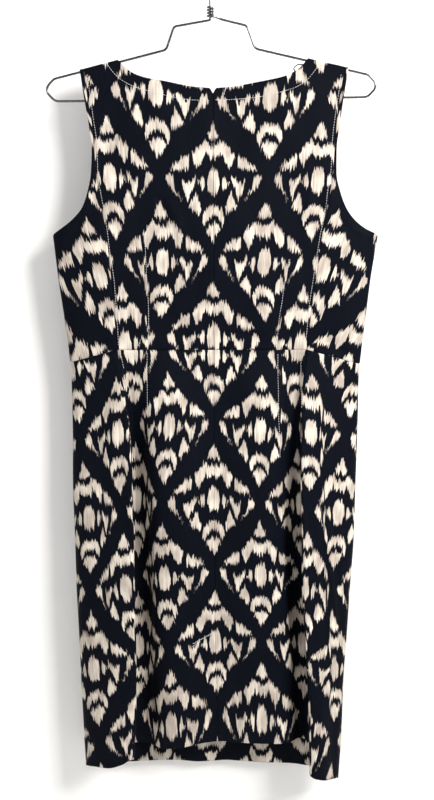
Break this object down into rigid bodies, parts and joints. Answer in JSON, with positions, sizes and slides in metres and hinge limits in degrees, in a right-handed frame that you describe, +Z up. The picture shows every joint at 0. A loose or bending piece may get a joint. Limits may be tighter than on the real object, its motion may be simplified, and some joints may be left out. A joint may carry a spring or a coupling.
{
  "type": "sheath dress on a wire hanger",
  "caption": "Sleeveless fitted cotton dress in a navy and cream ikat print, back view with closed zip and hem vent, hung on a bent chrome wire hanger.",
  "frame": {"origin": "the point inside the top of the hanger's hook where a peg or rail carries it", "axes": "+Z up, +X to the right of someone who looks at the dress's back, -Y out of the back, +Y out of the front"},
  "size_m": [0.4357, 0.0812, 1.144],
  "materials": {
    "cloth": "dark navy cotton sateen printed with cream ikat diamonds",
    "zip_tape": "dark woven polyester tape",
    "ribbon": "narrow dark woven ribbon",
    "wire": "bright chromed steel wire"
  },
  "bodies": {
    "root": {"centre_back_bodice_left": "cloth", "centre_back_bodice_right": "cloth", "side_back_bodice_left": "cloth", "side_back_bodice_right": "cloth", "front_bodice": "cloth", "side_back_skirt_left": "cloth", "side_back_skirt_right": "cloth", "centre_back_skirt_left": "cloth", "centre_back_skirt_right": "cloth", "front_skirt": "cloth", "front_hem_turn_up": "cloth", "back_vent_underlap": "cloth", "zip_tape": "zip_tape", "hanging_loop": "ribbon", "hanger_arm_left": "wire", "hanger_arm_right": "wire", "hanger_bar": "wire", "hanger_hook": "wire", "hanger_coil": "wire"}
  },
  "joints": []
}
